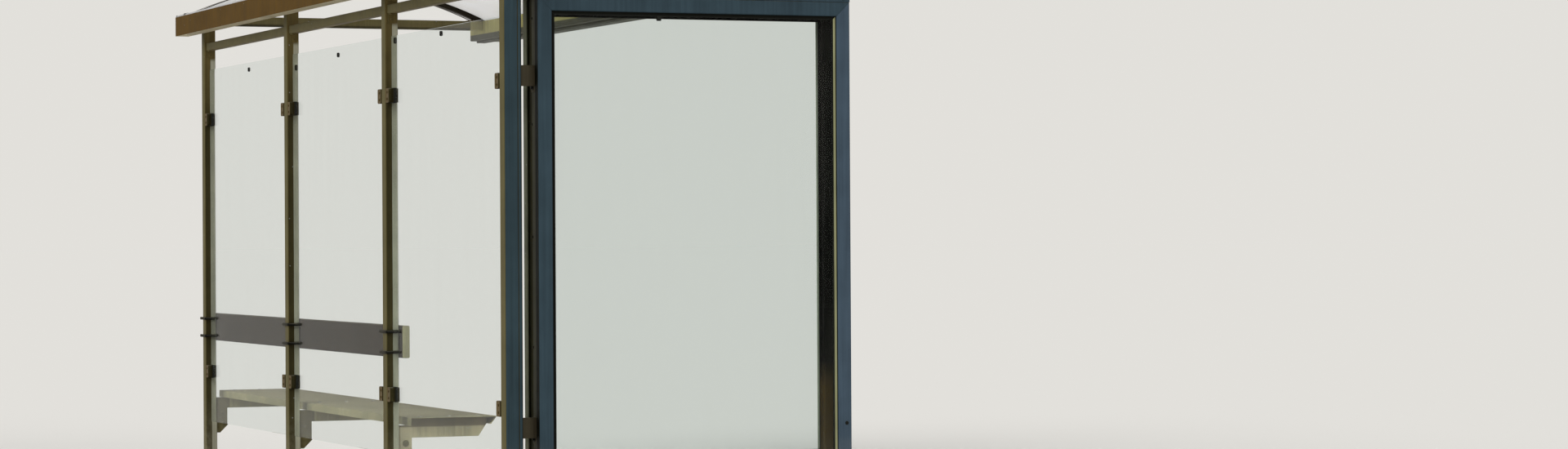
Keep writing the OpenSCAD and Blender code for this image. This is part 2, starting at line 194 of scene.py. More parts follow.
def powder_coat(name, colour, tones, dust="#8A8470", sheen=0.5, wear=0.5, gloss=0.15):
    """Powder coat on steel. Each tone is one or more limits and a colour. A limit is (what
    it reads, axis, start, full): a face's direction or a place along an axis, and where the
    tone starts and is full. The gloss is low, as the weathered coat mirrors little even at
    a low angle."""
    material, tree, shader, _ = new_material(name)
    shader.inputs["Specular IOR Level"].default_value = gloss
    place = add_node(tree, "ShaderNodeTexCoord").outputs["Object"]
    facing = add_node(tree, "ShaderNodeNewGeometry").outputs["Normal"]
    paint = hex_colour(colour)
    for *limits, tone in tones:
        whole = 1.0
        for reads, axis, start, full in limits:
            along = add_node(tree, "ShaderNodeVectorMath", {0: facing if reads == "facing" else place,
                                                            1: axis}, operation="DOT_PRODUCT")
            whole = maths(tree, "MULTIPLY", ramp(tree, along.outputs["Value"], start, full), whole)
        paint = blend(tree, whole, paint, tone)
    # Rain runs down the faces and leaves streaks about 12 mm wide and half a metre long,
    runs = add_node(tree, "ShaderNodeMapping", {0: place, 3: (80, 80, 2)}).outputs[0]
    runs = noise(tree, runs, 1.0, 4.0)
    # with fainter clouds of about 170 mm between them
    tone = maths(tree, "ADD", runs, noise(tree, place, 6.0, 5.0))
    tone = ramp(tree, tone, 0.7, 1.3, 1 - 0.4 * wear, 1 + 0.4 * wear)
    paint = add_node(tree, "ShaderNodeVectorMath", {0: paint, 3: tone}, operation="SCALE").outputs[0]
    # Dust lies in 25 mm flecks on what faces up and is splashed on the lowest 400 mm
    upward, height = (add_node(tree, "ShaderNodeSeparateXYZ", {0: what}).outputs[2]
                      for what in (facing, place))
    film = maths(tree, "MAXIMUM", ramp(tree, upward, 0.55, 0.95, 0, 0.62),
                 ramp(tree, height, 0.42, 0.02, 0, 0.55))
    grain = ramp(tree, noise(tree, place, 38.0, 6.0), 0.35, 0.65, 0.35, 1.0)
    film = maths(tree, "MULTIPLY", film, grain)
    paint = blend(tree, film, paint, dust)
    # Stone chips 2 to 4 mm wide, down to the zinc
    chips = add_node(tree, "ShaderNodeTexVoronoi", {0: place, "Scale": 62.0}).outputs
    rare = add_node(tree, "ShaderNodeSeparateColor", {0: chips["Color"]}).outputs[0]
    rare = maths(tree, "GREATER_THAN", rare, 1 - 0.05 * wear)
    chip = maths(tree, "MULTIPLY", ramp(tree, chips["Distance"], 0.16, 0.10), rare)
    paint = blend(tree, chip, paint, "#8E9090")
    rough = maths(tree, "MULTIPLY_ADD", film, 0.45, sheen)
    rough = maths(tree, "MULTIPLY_ADD", runs, 0.16, rough)
    # Orange peel, with waves of about 3 mm so that it shows
    peel = maths(tree, "MULTIPLY_ADD", chip, -0.8, noise(tree, place, 330.0, 2.0))
    dress(tree, shader, paint, rough, (0.22, 0.0006), peel)
    return material


def coat(material, *names):
    """Gives CAD nodes their material."""
    for name in names:
        for slot in nodes[name].material_slots:
            slot.material = material


def block(name, low, high):
    """Starts a piece as a block between two corners."""
    bpy.ops.object.select_all(action="DESELECT")
    low, high = Vector(low), Vector(high)
    bpy.ops.mesh.primitive_cube_add(size=1, location=(low + high) / 2, scale=high - low)
    bpy.ops.object.transform_apply()
    bpy.context.object.name = name
    return bpy.context.object


def disc(name, radius, low, high, sides=24):
    """Starts a piece as a round or many-sided bar up the Z axis."""
    bpy.ops.object.select_all(action="DESELECT")
    bpy.ops.mesh.primitive_cylinder_add(vertices=sides, radius=radius, depth=high - low,
                                        location=(0, 0, (low + high) / 2))
    bpy.ops.object.transform_apply()
    bpy.context.object.name = name
    return bpy.context.object


def pick(piece, kind, test):
    """Opens a piece in edit mode and selects its faces or edges that pass a test on
    their middle and on their normal or direction."""
    bpy.context.view_layer.objects.active = piece
    bpy.ops.object.mode_set(mode="EDIT")
    bpy.ops.mesh.select_mode(type=kind)
    bpy.ops.mesh.select_all(action="DESELECT")
    mesh = bmesh.from_edit_mesh(piece.data)
    for face in mesh.faces if kind == "FACE" else ():
        if test(face.calc_center_median(), face.normal):
            face.select_set(True)
    for edge in mesh.edges if kind == "EDGE" else ():
        start, end = (corner.co for corner in edge.verts)
        if test((start + end) / 2, (end - start).normalized()):
            edge.select_set(True)
    bmesh.update_edit_mesh(piece.data)


def soften(piece, width, segments=2):
    """Rounds the sharp edges of a piece."""
    bpy.ops.object.mode_set(mode="OBJECT")
    edges = piece.modifiers.new("edges", "BEVEL")
    edges.width, edges.segments = width, segments
    bpy.context.view_layer.objects.active = piece
    bpy.ops.object.modifier_apply(modifier="edges")


def round_edges(piece, width, segments, test):
    """Rounds the edges of a piece that pass a test on their middle and direction."""
    pick(piece, "EDGE", test)
    bpy.ops.mesh.bevel(offset=width, segments=segments, affect="EDGES")
    bpy.ops.object.mode_set(mode="OBJECT")


def face_outwards(piece):
    """Turns all faces of a closed piece outwards."""
    pick(piece, "FACE", lambda middle, normal: True)
    bpy.ops.mesh.normals_make_consistent(inside=False)
    bpy.ops.object.mode_set(mode="OBJECT")


def ring(name, low, high, across, width):
    """A closed frame: a block with a hole through it along one axis."""
    piece = block(name, low, high)
    pick(piece, "FACE", lambda middle, normal: abs(normal[across]) > 0.9)
    bpy.ops.mesh.inset(thickness=width, use_individual=True)
    bpy.ops.mesh.bridge_edge_loops()
    face_outwards(piece)
    return piece


def one_piece(name, parts):
    """Joins parts into one piece."""
    bpy.ops.object.select_all(action="DESELECT")
    for part in parts:
        part.select_set(True)
    bpy.context.view_layer.objects.active = parts[0]
    if len(parts) > 1:
        bpy.ops.object.join()
    parts[0].name = name
    return parts[0]


def set_out(pattern, name, places, keep=False):
    """Copies a pattern to its places, each copy with its own mesh, and joins them. The
    pattern then goes, unless it is kept for more pieces."""
    copies = []
    for place in places:
        copy = bpy.data.objects.new(name, pattern.data.copy())
        bpy.context.scene.collection.objects.link(copy)
        copy.data.transform(place)
        copies.append(copy)
    if not keep:
        bpy.data.objects.remove(pattern)
    return one_piece(name, copies)


def at(place, way=(0, 0, 1)):
    """Puts what stands on the XY plane onto a face at a place, standing the given way."""
    return Matrix.Translation(place) @ Vector(way).to_track_quat("Z", "Y").to_matrix().to_4x4()


def fit(piece, material):
    """Finishes a piece: its material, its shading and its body."""
    bpy.ops.object.select_all(action="DESELECT")
    piece.select_set(True)
    bpy.context.view_layer.objects.active = piece
    piece.data.materials.append(material)
    bpy.ops.object.shade_smooth_by_angle(angle=math.radians(35))
    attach(piece, "root")


UP, DOWN, OUT, NEAR, FAR = (0, 0, 1), (0, 0, -1), (0, 1, 0), (-1, 0, 0), (1, 0, 0)
# The limits of a tone to the faces that look down, out, to the near end or to the far end
UNDER_FACES, OUT_FACES, NEAR_FACES, FAR_FACES = (("facing", way, 0.4, 0.8)
                                                 for way in (DOWN, OUT, NEAR, FAR))

# Olive bronze powder coat, sprayed and baked: semi-matt. Its tones are painted light: olive
# where the sun lights the outer faces, dark as painted shade on the sides, a paler brown
# painted on the top of the posts against the shade of the roof, and a bluish slate painted
# reflection of the sky on the face of the near post
OLIVE = (("place", UP, 1.8, 2.2), "#564A2A"), (OUT_FACES, "#564F30")
frame_paint = powder_coat("olive_bronze_powder_coat", "#352F18", OLIVE + (
    (("place", NEAR, 2.4885, 2.4895), "#29383E"),), gloss=0.08)
coat(frame_paint, "rear_post_1")
# On the other posts the half of the near side behind the pane is painted paler: painted
# light that the pane throws on it
post_paint = powder_coat("olive_bronze_coat_with_painted_pane_light", "#352F18", OLIVE + (
    (NEAR_FACES, ("place", OUT, 0.7885, 0.7870), ("place", UP, 2.200, 2.180), "#93917F"),),
    gloss=0.08)
coat(post_paint, "rear_post_2", "rear_post_3", "rear_post_4")

# Hot-dip zinc on the anchors: pale grey, softly shining, with spangle 4 mm wide
zinc, tree, shader, _ = new_material("hot_dip_zinc")
shader.inputs["Metallic"].default_value = 0.85
place = add_node(tree, "ShaderNodeTexCoord").outputs["Object"]
spangle = add_node(tree, "ShaderNodeTexVoronoi", {0: place, "Scale": 250.0}).outputs["Color"]
spangle = add_node(tree, "ShaderNodeSeparateColor", {0: spangle}).outputs
stain = ramp(tree, noise(tree, place, 120.0, 4.0), 0.5, 0.7, 0, 0.6)
shade = blend(tree, stain, blend(tree, spangle[0], "#8C8F91", "#A9ABAC"), "#6B5A45")
dress(tree, shader, shade, ramp(tree, spangle[1], 0, 1, 0.38, 0.58), (0.2, 0.0004), stain)

# One anchor: a washer, a chamfered nut and the end of a threaded rod
washer = disc("washer", 0.012, PLATE_T, PLATE_T + 0.0025)
soften(washer, 0.0005)
nut = disc("nut", 0.0104, PLATE_T + 0.0025, PLATE_T + 0.0125, sides=6)
soften(nut, 0.0012, 1)
rod = disc("rod", 0.0054, 0.001, PLATE_T + 0.0125, sides=16)
THREADS, THREAD_PITCH = 7, 0.00175
for turn in range(THREADS):
    for rise, swell in ((0.4, 1.1), (0.6, 1 / 1.1)):
        level = max(corner.co.z for corner in rod.data.vertices)
        pick(rod, "FACE", lambda middle, normal: normal.z > 0.9 and middle.z > level - 1e-5)
        bpy.ops.mesh.extrude_region_move(
            TRANSFORM_OT_translate={"value": (0, 0, rise * THREAD_PITCH)})
        bpy.ops.transform.resize(value=(swell, swell, 1), center_override=(0, 0, level))
        bpy.ops.object.mode_set(mode="OBJECT")
anchor = one_piece("anchor", [washer, nut, rod])

# One foot weld: a bead round the tube on its plate, rounded at the corners and above
POST_HALF = POST_W / 2
bead = ring("foot_weld", (-POST_HALF - FOOT_WELD, -POST_HALF - FOOT_WELD, PLATE_T - LET_IN),
            (POST_HALF + FOOT_WELD, POST_HALF + FOOT_WELD, PLATE_T + FOOT_WELD), 2, FOOT_WELD + 0.001)
round_edges(bead, 0.011, 5, lambda middle, way: abs(way.z) > 0.9 and abs(middle.x) > POST_HALF + 0.003)
round_edges(bead, FOOT_WELD * 0.75, 3, lambda middle, way: abs(way.z) < 0.1
            and middle.z > PLATE_T + FOOT_WELD - 1e-4
            and max(abs(middle.x), abs(middle.y)) > POST_HALF + 0.0025)


def stand(name, x, y, turn, weld_paint):
    """Gives a foot its weld and its four anchors. The nuts stand as they were tightened,
    each turned by its place along and across the wall."""
    corners = [Matrix.Translation((x + a * ANCHOR_REACH, y + b * ANCHOR_REACH, 0))
               @ Matrix.Rotation(turn[0] * a + turn[1] * b, 4, "Z") for a in (-1, 1) for b in (-1, 1)]
    fit(set_out(anchor, name + "_anchors", corners, keep=True), zinc)
    fit(set_out(bead, name + "_foot_weld", [Matrix.Translation((x, y, 0))], keep=True), weld_paint)


for count, x in enumerate(POST_X, 1):
    stand("post_%d" % count, x, POST_Y, (0.4, 1.0), frame_paint)

# The welds between the post tops and the roof's level tubes
TUBE_SIDE, WELD_END = 0.0245, 0.028
top_bead = block("top_weld", (TUBE_SIDE, -WELD_END, POST_TOP - LET_IN),
                 (TUBE_SIDE + TOP_WELD, WELD_END, POST_TOP + TOP_WELD))
round_edges(top_bead, TOP_WELD * 0.8, 3, lambda middle, way: abs(way.y) > 0.9
            and middle.x > TUBE_SIDE + 0.0015 and middle.z > POST_TOP + 0.003)
fit(set_out(top_bead, "post_top_welds",
            [Matrix.Translation((x, POST_Y, 0)) @ Matrix.Rotation(turn, 4, "Z")
             for x in POST_X for turn in (0, math.pi)]), frame_paint)


def mottled(name, dark, light, grain, detail, rough, metallic=0.0, gloss=0.5, relief=None):
    """A finish that goes in spots from dark to light and from the first roughness to the
    second. Grain is how many spots fill a metre along each axis, and relief the strength
    and the height of their bumps."""
    material, tree, shader, _ = new_material(name)
    shader.inputs["Metallic"].default_value = metallic
    shader.inputs["Specular IOR Level"].default_value = gloss
    place = add_node(tree, "ShaderNodeTexCoord").outputs["Object"]
    spots = noise(tree, add_node(tree, "ShaderNodeMapping", {0: place, 3: grain}).outputs[0], 1.0, detail)
    dress(tree, shader, blend(tree, spots, dark, light), ramp(tree, spots, 0, 1, *rough), relief, spots)
    return material


# Black rubber, moulded: dull, with a greyish bloom in patches of about 11 mm
rubber = mottled("black_moulded_rubber", "#0B0C09", "#1E1F19", (90, 90, 90), 5.0, (0.6, 0.85),
                 gloss=0.15, relief=(0.2, 0.0004))

# Moulded plugs close the holes by which the posts were hung in the oven
PLUG_Y = 0.771
post_plug = block("post_plug", (-0.0075, -0.014, -LET_IN), (0.0075, 0.014, 0.0030))
round_edges(post_plug, 0.0065, 5, lambda middle, way: abs(way.z) > 0.9)
soften(post_plug, 0.0012)
fit(set_out(post_plug, "post_plugs", [at((x - POST_HALF, PLUG_Y, z), NEAR)
                                      for x, z in ((POST_X[1], 2.12), (POST_X[2], 2.075))]),
    rubber)

# A painted filler strip up the inner edge of the near post with a rubber lip on it, where
# the display case is pushed in
FILLER_Y = rear_y - POST_W - 0.0110
FILLER_W, LIP_W, LIP_T = 0.0160, 0.0130, 0.0035
FILLER_Z = (PLATE_T + 0.002, POST_TOP - 0.002)
filler = block("near_post_filler", (near_x, FILLER_Y, FILLER_Z[0]),
               (near_x + FILLER_W, rear_y - POST_W, FILLER_Z[1]))
soften(filler, 0.0010)
fit(filler, frame_paint)
strip = block("near_post_strip", (near_x + 0.0010, FILLER_Y - LIP_T, FILLER_Z[0]),
              (near_x + 0.0010 + LIP_W, FILLER_Y, FILLER_Z[1]))
round_edges(strip, 0.0025, 4, lambda middle, way: abs(way.z) > 0.9 and middle.y < FILLER_Y - 0.002)
soften(strip, 0.0005)
fit(strip, rubber)


# The top rails: three thin square tubes between the posts, each end resting on a small
# steel angle that is screwed to the post and to the rail with round-headed screws.
RAIL_UNDER = 2.238
ANGLE_T = 0.004
POST_SCREW_DOWN, RAIL_SCREW_IN = 0.026, 0.027
BAY_ENDS = [end for n in range(3) for end in ((POST_X[n] + POST_HALF, 1), (POST_X[n + 1] - POST_HALF, -1))]
# How far a screw head or a washer is let into its seat
HEAD_IN = 0.0004
coat(frame_paint, "top_rail_1", "top_rail_2", "top_rail_3", "rail_brackets")


def push(width, rise):
    """Insets the picked faces and extrudes them up or down."""
    bpy.ops.mesh.inset(thickness=width)
    bpy.ops.mesh.extrude_region_move(TRANSFORM_OT_translate={"value": (0, 0, rise)})


def round_head(name, radius, height):
    """A domed screw head on the XY plane, with a socket for a pin key."""
    head = disc(name, radius, -HEAD_IN, height)
    round_edges(head, height * 0.7, 4, lambda middle, way: middle.z > height - 1e-5)
    pick(head, "FACE", lambda middle, normal: normal.z > 0.99 and middle.z > height - 1e-5)
    push((radius - height * 0.7) * 0.35, -height * 0.6)
    push((radius - height * 0.7) * 0.42, height * 0.5)
    bpy.ops.object.mode_set(mode="OBJECT")
    return head


screw = round_head("screw", 0.0058, 0.0034)
places = []
for x, side in BAY_ENDS:
    places.append(at((x + side * ANGLE_T, POST_Y, RAIL_UNDER - POST_SCREW_DOWN), (side, 0, 0)))
    places.append(at((x + side * RAIL_SCREW_IN, POST_Y, RAIL_UNDER - ANGLE_T), DOWN))
fit(set_out(screw, "rail_angle_screws", places), frame_paint)


# The glazing of the rear wall: toughened panes 8 mm thick with ground edges, which stand
# free between the posts. A rubber plug closes the lifting hole near the top of a pane.
GLASS_T = 0.008
# Glass has 1.5, but seen this flat it would mirror a quarter of the white studio. What
# the panes mirror in the street is much darker, so that little of it shows
GLASS_IOR = 1.07


def clear_glass(name, film, streak):
    """Toughened float glass with a film of street dust: film is its share over the pane
    and streak how much more the dried runs carry. It lets the lamps through."""
    material, tree, shader, output = new_material(name)
    place = add_node(tree, "ShaderNodeTexCoord").outputs["Object"]
    shader.inputs["Base Color"].default_value = hex_colour("#F0F4F3")
    shader.inputs["Transmission Weight"].default_value = 1.0
    shader.inputs["IOR"].default_value = GLASS_IOR
    shader.inputs["Roughness"].default_value = 0.0
    # Dried runs 60 mm wide and 900 mm long, drops 14 mm apart and broad wiped patches
    runs = add_node(tree, "ShaderNodeMapping", {0: place, 3: (16, 16, 1.1)}).outputs[0]
    runs = ramp(tree, noise(tree, runs, 1.0, 6.0, Roughness=0.65), 0.45, 0.75, 0, streak)
    spots = add_node(tree, "ShaderNodeTexVoronoi", {0: place, "Scale": 70.0}).outputs["Distance"]
    spots = ramp(tree, spots, 0.16, 0.07, 0, streak * 0.8)
    wiped = ramp(tree, noise(tree, place, 2.2, 3.0, Distortion=1.5), 0.3, 0.7, film * 0.5, film * 1.5)
    height = add_node(tree, "ShaderNodeSeparateXYZ", {0: place}).outputs[2]
    splash = ramp(tree, height, 0.9, 0.28, 0, film * 1.6)
    share = maths(tree, "ADD", maths(tree, "ADD", maths(tree, "ADD", runs, spots), wiped), splash)
    dust = add_node(tree, "ShaderNodeBsdfDiffuse", {"Color": hex_colour("#D8D6CC"), "Roughness": 1.0})
    dusty = add_node(tree, "ShaderNodeMixShader", {0: share, 1: shader.outputs[0], 2: dust.outputs[0]})
    path = add_node(tree, "ShaderNodeLightPath")
    through = add_node(tree, "ShaderNodeBsdfTransparent", {"Color": hex_colour("#F0F4F3")})
    seen = add_node(tree, "ShaderNodeMixShader", {0: path.outputs["Is Shadow Ray"],
                                                  1: dusty.outputs[0], 2: through.outputs[0]})
    tree.links.new(seen.outputs[0], output.inputs["Surface"])
    return material


# Clear float glass, toughened and ground at the edges: nearly colourless, with dust and runs
wall_glass = clear_glass("dusty_float_glass", 0.005, 0.012)
coat(wall_glass, "glass_pane_1", "glass_pane_2", "glass_pane_3")

PANE_HOLES = ((-1.576, 2.108), (-0.005, 2.094), (1.62, 2.10))
PLUG_PROUD = 0.0030
plug = disc("pane_plug", 0.0075, -PLUG_PROUD - GLASS_T / 2, PLUG_PROUD + GLASS_T / 2, sides=20)
pick(plug, "FACE", lambda middle, normal: normal.y > 0.15)
bpy.ops.transform.translate(value=(0, 0.0065, 0))
soften(plug, 0.0018)
fit(set_out(plug, "pane_plugs", [at((x, POST_Y, z), OUT) for x, z in PANE_HOLES]), rubber)


# The glass clamps: cast and painted blocks on the sides of the posts. Each grips its
# pane between rubber pads, under a thick cover with two screws on the outer side.
CLAMP_H, CLAMP_T, CLAMP_LEN = 0.062, 0.036, 0.050
CLAMP_Z = (0.555, 1.875)
COVER_T, COVER_DISH = 0.014, 0.0012
PAD_PROUD, PAD_T, PAD_WALL = 0.0080, 0.0160, 0.012
CLAMP_SCREW_X, CLAMP_SCREW_Z = 0.029, 0.015
# Brown paint brushed on sand-cast iron: dull and worn, with a paler brown painted on the
# outer faces and the near ends as painted light
clamp_paint = powder_coat("brown_painted_cast_iron", "#201A0C", (
    (NEAR_FACES, "#2F2A12"),
    (OUT_FACES, "#54462A")), wear=0.7, gloss=0.1)
coat(clamp_paint, "glass_clamps_1", "glass_clamps_2", "glass_clamps_3", "glass_clamps_4")

pad = ring("clamp_pad", (0.0085, -CLAMP_H / 2 - 0.0025, -PAD_T / 2),
           (CLAMP_LEN + PAD_PROUD, CLAMP_H / 2 + 0.0025, PAD_T / 2), 2, PAD_WALL)
soften(pad, 0.001)
clamp_screw = round_head("clamp_screw", 0.0062, 0.0030)
cover = block("clamp_cover", (0.006, CLAMP_T / 2 - LET_IN, -CLAMP_H / 2 - 0.001),
              (CLAMP_LEN + 0.004, CLAMP_T / 2 + COVER_T, CLAMP_H / 2 + 0.001))
round_edges(cover, 0.008, 4, lambda middle, way: abs(way.y) > 0.9)
pick(cover, "FACE", lambda middle, normal: normal.y > 0.9)
bpy.ops.mesh.inset(thickness=0.003)
bpy.ops.transform.translate(value=(0, -COVER_DISH, 0))
soften(cover, 0.0012)


def mirrored(place, side):
    """Puts a pattern made for the far side at a place, turned over for the near side."""
    return Matrix.Translation(place) @ Matrix.Diagonal((side, 1, 1, 1))


pads, covers, screws = [], [], []
for x, side in BAY_ENDS:
    for z in CLAMP_Z:
        covers.append(mirrored((x, POST_Y, z), side))
        pads.append(covers[-1] @ Matrix.Rotation(math.pi / 2, 4, "X"))
        screws += [at((x + side * CLAMP_SCREW_X, POST_Y + reach, z + rise), (0, reach, 0))
                   for reach in (-CLAMP_T / 2, CLAMP_T / 2 + COVER_T - COVER_DISH)
                   for rise in (-CLAMP_SCREW_Z, CLAMP_SCREW_Z)]
for pattern, name, places, material in ((pad, "clamp_pads", pads, rubber),
                                        (cover, "clamp_covers", covers, clamp_paint)):
    piece = set_out(pattern, name, places)
    face_outwards(piece)
    fit(piece, material)
fit(set_out(clamp_screw, "clamp_screws", screws), clamp_paint)


# The roof frame: a folded fascia along the rear edge and a hollow beam along the front
# edge, both of powder coated steel sheet, with curved rafters of flat tube between them.
# The open ends of fascia and beam are closed by plates with two rivets each.
ROOF_X, ROOF_Y = 2.650, 0.920
FASCIA_LOW, FASCIA_TOP, STEEL_T = 2.324, 2.424, 0.002
FASCIA_IN, BEAM_IN = 0.850, -0.720
# Brown powder coat, chalked by the weather: matt and even, with a pale underside that is
# painted light from the ground
fascia_paint = powder_coat("brown_powder_coat", "#3A2C17", (
    (OUT_FACES, "#503A10"),
    (UNDER_FACES, "#A89E84")), wear=0.6, gloss=0.03)
# The same coat on the beam, painted olive beige as painted light of the sky from the front,
# with painted shade under it and along its lower edge
beam_paint = powder_coat("beam_coat_with_painted_sky_light", "#5B563E", (
    (OUT_FACES, "#A0985F"),
    (UNDER_FACES, "#55553C"),
    (("place", UP, 2.357, 2.351), "#403E2E")), wear=0.9)
# Olive brown powder coat on the level rails, painted paler towards the front as painted
# light and darker along their lower edge as painted shade. The rafters' coat is painted
# nearly black as the shade of the sheet, a little paler underneath
rail_paint = powder_coat("olive_brown_powder_coat", "#5E5637", (
    (("place", UP, 2.386, 2.380), "#3A3520"),
    (("place", OUT, -0.648, -0.653), "#8E8657")))
rafter_paint = powder_coat("bronze_coat_with_painted_sheet_shade", "#1C160A", (
    (UNDER_FACES, "#2E2412"),))
coat(fascia_paint, "rear_fascia")
coat(beam_paint, "front_beam")
coat(rail_paint, "near_end_rail", "far_end_rail")
coat(rafter_paint, "rafter_1", "rafter_2", "rafter_3", "rafter_4")

# The end plates, a little inside the ends, and their rivets
PLATE_IN, PLATE_FACE = 0.004, 0.0032
RIVETS = ((0.885, 2.349), (0.885, 2.399), (-0.86, 2.374), (-0.78, 2.374))
rivet = disc("rivet", 0.005, -HEAD_IN, 0.0016, sides=16)
soften(rivet, 0.0012, 3)
fascia_cap = block("fascia_cap", (-0.0020, FASCIA_IN + LET_IN, FASCIA_LOW + STEEL_T),
                   (0.0008, ROOF_Y - STEEL_T, FASCIA_TOP - STEEL_T))
soften(fascia_cap, 0.0005, 1)
beam_cap = block("beam_cap", (-0.0020, -ROOF_Y + STEEL_T, FASCIA_LOW + STEEL_T),
                 (0.0005, BEAM_IN - STEEL_T, FASCIA_TOP - STEEL_T))
soften(beam_cap, 0.002)
ends = [mirrored((side * (ROOF_X - PLATE_IN), 0, 0), side) for side in (-1, 1)]
caps = one_piece("roof_end_caps", [
    set_out(fascia_cap, "fascia_caps", ends), set_out(beam_cap, "beam_caps", ends),
    set_out(rivet, "rivets", [at((side * (ROOF_X - PLATE_FACE), y, z), (side, 0, 0))
                              for side in (-1, 1) for y, z in RIVETS])])
face_outwards(caps)
fit(caps, fascia_paint)

# A rolled track along the underside of the beam, with a slot between two flanges
TRACK_Y, TRACK_H, TRACK_END, FLANGE = (-0.800, -0.752), 0.010, 0.012, 0.014
track = block("beam_track", (-ROOF_X + TRACK_END, TRACK_Y[0], FASCIA_LOW - TRACK_H),
              (ROOF_X - TRACK_END, TRACK_Y[1], FASCIA_LOW + LET_IN))
pick(track, "FACE", lambda middle, normal: normal.z < -0.9)
push(FLANGE, 0.007)
soften(track, 0.001)
fit(track, beam_paint)

# The rafters' welds on the level tubes
RIB_SIDE, RIB_WELD, RIB_WELD_END, TUBE_TOP = 0.0175, 0.005, 0.040, 2.422
RIB_REAR_Y, RIB_FRONT_Y = 0.806, -0.676
rib_bead = block("rib_weld", (RIB_SIDE, -RIB_WELD_END, TUBE_TOP - LET_IN),
                 (RIB_SIDE + RIB_WELD, RIB_WELD_END, TUBE_TOP - LET_IN + RIB_WELD))
round_edges(rib_bead, 0.004, 3, lambda middle, way: abs(way.y) > 0.9
            and middle.x > RIB_SIDE + 0.0025 and middle.z > TUBE_TOP + 0.002)
feet = [(x, RIB_REAR_Y) for x in POST_X] + [(x, RIB_FRONT_Y) for x in (POST_X[0], POST_X[3])]
fit(set_out(rib_bead, "rib_welds", [Matrix.Translation((x, y, 0)) @ Matrix.Rotation(turn, 4, "Z")
                                    for x, y in feet for turn in (0, math.pi)]),
    frame_paint)


# The roof skin: one arched sheet of milky twin-wall polycarbonate, 8 mm thick, its hollow
# flutes bent along the arch. Cover strips with rubber edges screw it to the rafters, and
# an aluminium channel closes the flutes at each end.
SHEET_T, STRIP_T, EAVE_Y = 0.008, 0.003, 0.917
# The middle of the arch and the radius of the sheet's underside
ARCH_Y, ARCH_Z, ARCH_R = 0.065, 0.71393, 1.89007


def along_arch(name, x_low, x_high, lift, thick, eaves=True, steps=48):
    """A strip bent along the roof's arch, lift above the underside of the sheet, with
    level ends out to the eaves unless it stops at the ends of the arch."""
    half_turn = math.acos((FASCIA_TOP + lift - ARCH_Z) / (ARCH_R + lift))
    crown = ARCH_Z + ARCH_R + lift
    start = ((x_low + x_high) / 2, ARCH_Y, crown + thick / 2)
    bpy.ops.object.select_all(action="DESELECT")
    bpy.ops.mesh.primitive_plane_add(size=1, location=start, rotation=(math.pi / 2, 0, 0))
    bpy.ops.object.transform_apply()
    piece = bpy.context.object
    piece.name = name
    pick(piece, "FACE", lambda middle, normal: True)
    bpy.ops.transform.resize(value=(x_high - x_low, 1, thick), center_override=start)
    bpy.ops.transform.rotate(value=-half_turn, orient_axis="X", center_override=(0, ARCH_Y, ARCH_Z))
    bpy.ops.mesh.spin(steps=steps, angle=2 * half_turn, center=(0, ARCH_Y, ARCH_Z), axis=(1, 0, 0))
    bpy.ops.mesh.select_all(action="SELECT")
    bpy.ops.mesh.remove_doubles(threshold=0.00001)
    bpy.ops.mesh.fill_holes(sides=4)
    bpy.ops.mesh.normals_make_consistent(inside=False)
    bpy.ops.object.mode_set(mode="OBJECT")
    for side in (-1, 1) if eaves else ():
        edge = side * EAVE_Y
        foot = ARCH_Y + side * (ARCH_R + lift) * math.sin(half_turn)
        pick(piece, "FACE", lambda middle, normal: side * normal.y > 0.8 and side * middle.y > 0.6)
        bpy.ops.mesh.extrude_region_move(TRANSFORM_OT_translate={"value": (0, edge - foot, 0)})
        bpy.ops.transform.resize(value=(1, 0, 1), center_override=(0, edge, 0))
        bpy.ops.object.mode_set(mode="OBJECT")
    return piece


# Milky twin-wall polycarbonate, extruded: most of the light comes through it, and the webs
# between its walls show as fine lines, drawn 22 mm apart for the real 11 so that they show
skin, tree, shader, output = new_material("milky_twin_wall_polycarbonate")
place = add_node(tree, "ShaderNodeTexCoord").outputs["Object"]
webs = add_node(tree, "ShaderNodeTexWave", {0: place, "Scale": 14.3, "Distortion": 0.0},
                wave_type="BANDS", bands_direction="X", wave_profile="SIN").outputs["Fac"]
grime = ramp(tree, noise(tree, place, 3.5, 7.0, Roughness=0.65), 0.45, 0.75, 0, 0.5)
milk = blend(tree, grime, "#FAFAFB", "#E6E3DA")
milk = blend(tree, ramp(tree, webs, 0.80, 1.0), milk, "#DEDFE3")
dress(tree, shader, milk, ramp(tree, grime, 0, 1, 0.28, 0.6), (0.25, 0.0008), webs)
glow = add_node(tree, "ShaderNodeBsdfTranslucent", {"Color": milk})
lit = add_node(tree, "ShaderNodeMixShader", {0: 0.78, 1: shader.outputs[0], 2: glow.outputs[0]})
tree.links.new(lit.outputs[0], output.inputs["Surface"])
coat(skin, "roof_sheet")

# Bronze anodised aluminium, extruded: a matt metal sheen with drawn lines 1 mm wide
anodised = mottled("bronze_anodised_aluminium", "#2B2419", "#4A3F2E", (900, 20, 900), 3.0, (0.35, 0.5),
                   metallic=0.9)

# The end channels: a web over the flutes and two flanges along the sheet
CHANNEL_T, UPPER_W, LOWER_W = 0.0015, 0.026, 0.022
web = along_arch("channel_web", ROOF_X - 0.0025, ROOF_X - 0.0007, 0, SHEET_T + CHANNEL_T)
upper = along_arch("channel_top", ROOF_X - UPPER_W, ROOF_X - 0.0020, SHEET_T, CHANNEL_T)
lower = along_arch("channel_foot", ROOF_X - LOWER_W, ROOF_X - 0.0020, -CHANNEL_T, CHANNEL_T, eaves=False)
channels = set_out(one_piece("sheet_channel", [web, upper, lower]), "sheet_end_channels",
                   [mirrored((0, 0, 0), side) for side in (1, -1)])
face_outwards(channels)
fit(channels, anodised)

